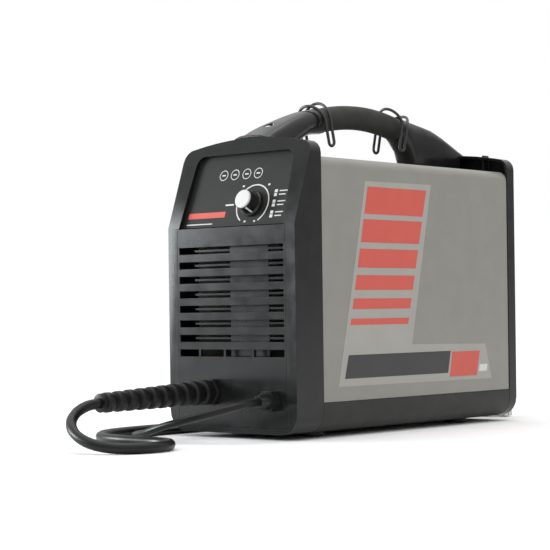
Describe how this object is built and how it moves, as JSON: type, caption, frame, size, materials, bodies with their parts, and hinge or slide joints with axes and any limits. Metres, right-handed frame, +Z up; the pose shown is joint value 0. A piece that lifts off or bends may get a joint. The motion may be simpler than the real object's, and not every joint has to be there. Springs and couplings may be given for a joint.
{
  "type": "portable plasma cutter power unit",
  "caption": "Portable plasma cutter: black moulded ends, grey steel cover, arched carry handle with wire bails, torch lead with hand torch and work lead with clamp.",
  "frame": {"origin": "on the floor, under the middle of the unit's own box without its leads", "axes": "+Z up, -Y towards the control panel, +X towards the side with the printed stripes"},
  "size_m": [0.3353, 0.7055, 0.3268],
  "materials": {
    "black_moulding": "satin moulded black plastic",
    "panel_black": "printed black overlay",
    "charcoal_paint": "satin charcoal paint",
    "grey_paint": "satin warm grey paint",
    "rubber": "matte black rubber",
    "grip_rubber": "matte dark grey grip rubber",
    "steel": "zinc-plated steel",
    "dark_wire": "black coated wire",
    "brass": "machined brass",
    "copper": "enamelled copper wire",
    "aluminium": "bare aluminium",
    "board": "green circuit board",
    "light_grey": "light grey plastic",
    "clear_bowl": "clear filter bowl",
    "red_plastic": "red plastic"
  },
  "bodies": {
    "unit": {"front_bezel": "black_moulding", "front_grille_panel": "black_moulding", "splash_baffle": "black_moulding", "control_plate": "panel_black", "potentiometer": "steel", "control_board": "board", "cover_shell": "grey_paint", "base_tray": "charcoal_paint", "foot_front_left": "rubber", "foot_front_right": "rubber", "foot_rear_left": "rubber", "foot_rear_right": "rubber", "rear_bezel": "black_moulding", "rear_panel": "charcoal_paint", "fan_frame": "black_moulding", "power_switch": "black_moulding", "mains_gland": "black_moulding", "air_inlet": "brass", "air_filter_head": "aluminium", "air_filter_bowl": "clear_bowl", "gas_valve": "brass", "chassis_divider": "aluminium", "heatsink": "aluminium", "power_board": "board", "capacitor_1": "light_grey", "capacitor_2": "light_grey", "transformer_core": "charcoal_paint", "transformer_winding": "copper", "output_choke": "copper", "handle_grip": "grip_rubber", "handle_core": "steel", "handle_front_bracket": "black_moulding", "handle_rear_bracket": "black_moulding", "handle_screw_front": "steel", "handle_screw_rear": "steel", "torch_gland": "black_moulding", "torch_boot": "rubber", "torch_lead": "rubber", "torch_lead_tail": "rubber", "torch_coil": "rubber", "torch_coil_tie": "rubber", "torch_handle": "black_moulding", "torch_head": "black_moulding", "torch_cup": "brass", "work_gland": "black_moulding", "work_lead": "rubber", "work_lead_tail": "rubber", "work_coil": "rubber", "work_coil_tie": "rubber", "clamp_fixed": "steel", "clamp_pin": "steel"},
    "knob": {"current_knob": "black_moulding", "knob_cap": "light_grey"},
    "rocker": {"power_rocker": "red_plastic"},
    "fan": {"fan_rotor": "black_moulding"},
    "front_bail": {"front_bail": "dark_wire"},
    "rear_bail": {"rear_bail": "dark_wire"},
    "trigger": {"torch_trigger": "red_plastic"},
    "safety": {"torch_safety": "red_plastic"},
    "clamp_jaw": {"clamp_moving": "steel"}
  },
  "joints": [
    {"name": "knob_turn", "type": "hinge", "parent": "unit", "child": "knob", "pos_m": [0.019, -0.1749, 0.21772], "axis": [0, -0.9444, 0.3289], "range_deg": [0, 300]},
    {"name": "rocker_tilt", "type": "hinge", "parent": "unit", "child": "rocker", "pos_m": [0.044, 0.1643, 0.222], "axis": [1, 0, 0], "range_deg": [0, 20]},
    {"name": "fan_spin", "type": "hinge", "parent": "unit", "child": "fan", "pos_m": [-0.018, 0.15525, 0.13], "axis": [0, 1, 0], "continuous": true},
    {"name": "front_bail_swing", "type": "hinge", "parent": "unit", "child": "front_bail", "pos_m": [0, -0.0599, 0.30378], "axis": [0, 0.9713, 0.2378], "range_deg": [-15, 15]},
    {"name": "rear_bail_swing", "type": "hinge", "parent": "unit", "child": "rear_bail", "pos_m": [0, 0.0641, 0.30567], "axis": [0, 0.9746, -0.2238], "range_deg": [-15, 15]},
    {"name": "trigger_press", "type": "hinge", "parent": "unit", "child": "trigger", "pos_m": [-0.2302, 0.2635, 0.0149], "axis": [0, 0, -1], "range_deg": [0, 7], "stiffness_Nm_per_rad": 0.3},
    {"name": "safety_flip", "type": "hinge", "parent": "unit", "child": "safety", "pos_m": [-0.2278, 0.2265, 0.0149], "axis": [0, 0, -1], "range_deg": [0, 70], "stiffness_Nm_per_rad": 0.004},
    {"name": "clamp_open", "type": "hinge", "parent": "unit", "child": "clamp_jaw", "pos_m": [-0.004, 0.2171, 0.012], "axis": [0, 0, -1], "range_deg": [0, 22], "stiffness_Nm_per_rad": 1.5, "springref_deg": -11.46}
  ]
}
